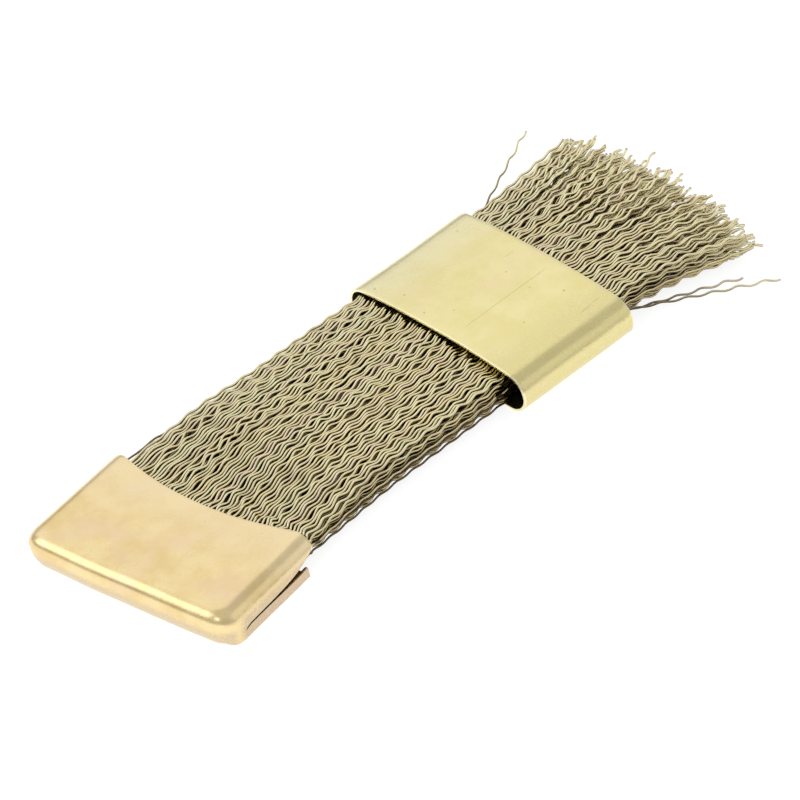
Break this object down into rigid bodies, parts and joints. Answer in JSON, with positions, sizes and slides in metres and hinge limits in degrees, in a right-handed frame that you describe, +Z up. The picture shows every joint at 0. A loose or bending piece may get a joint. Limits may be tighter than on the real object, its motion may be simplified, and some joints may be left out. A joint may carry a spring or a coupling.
{
  "type": "sliding sleeve wire brush",
  "caption": "Flat hand brush of crimped brass wire, held in a folded brass end cap, with a brass sleeve that slides along the wires.",
  "frame": {"origin": "centre of the brush's footprint, on the surface it lies on", "axes": "+X along the wires from the end cap to the tips, +Y across the flat bundle, +Z up through its thickness"},
  "size_m": [0.0638, 0.0274, 0.0041],
  "materials": {
    "cap_brass": "satin",
    "sleeve_brass": "satin",
    "wire_brass": "satin"
  },
  "bodies": {
    "bundle": {"end_cap": "cap_brass", "wire_tuft_bottom_01": "wire_brass", "wire_tuft_bottom_02": "wire_brass", "wire_tuft_bottom_03": "wire_brass", "wire_tuft_bottom_04": "wire_brass", "wire_tuft_bottom_05": "wire_brass", "wire_tuft_bottom_06": "wire_brass", "wire_tuft_bottom_07": "wire_brass", "wire_tuft_bottom_08": "wire_brass", "wire_tuft_bottom_09": "wire_brass", "wire_tuft_bottom_10": "wire_brass", "wire_tuft_bottom_11": "wire_brass", "wire_tuft_bottom_12": "wire_brass", "wire_tuft_bottom_13": "wire_brass", "wire_tuft_bottom_14": "wire_brass", "wire_tuft_middle_01": "wire_brass", "wire_tuft_middle_02": "wire_brass", "wire_tuft_middle_03": "wire_brass", "wire_tuft_middle_04": "wire_brass", "wire_tuft_middle_05": "wire_brass", "wire_tuft_middle_06": "wire_brass", "wire_tuft_middle_07": "wire_brass", "wire_tuft_middle_08": "wire_brass", "wire_tuft_middle_09": "wire_brass", "wire_tuft_middle_10": "wire_brass", "wire_tuft_middle_11": "wire_brass", "wire_tuft_middle_12": "wire_brass", "wire_tuft_middle_13": "wire_brass", "wire_tuft_middle_14": "wire_brass", "wire_tuft_top_01": "wire_brass", "wire_tuft_top_02": "wire_brass", "wire_tuft_top_03": "wire_brass", "wire_tuft_top_04": "wire_brass", "wire_tuft_top_05": "wire_brass", "wire_tuft_top_06": "wire_brass", "wire_tuft_top_07": "wire_brass", "wire_tuft_top_08": "wire_brass", "wire_tuft_top_09": "wire_brass", "wire_tuft_top_10": "wire_brass", "wire_tuft_top_11": "wire_brass", "wire_tuft_top_12": "wire_brass", "wire_tuft_top_13": "wire_brass", "wire_tuft_top_14": "wire_brass", "stray_wire_left": "wire_brass", "stray_wire_right_long": "wire_brass", "stray_wire_right_short": "wire_brass"},
    "sleeve": {"sliding_sleeve": "sleeve_brass"}
  },
  "joints": [
    {"name": "sleeve_slide", "type": "slide", "parent": "bundle", "child": "sleeve", "axis": [1, 0, 0], "range_m": [-0.022, 0.004], "deforming": ["stray_wire_left", "stray_wire_right_long", "stray_wire_right_short"]}
  ]
}
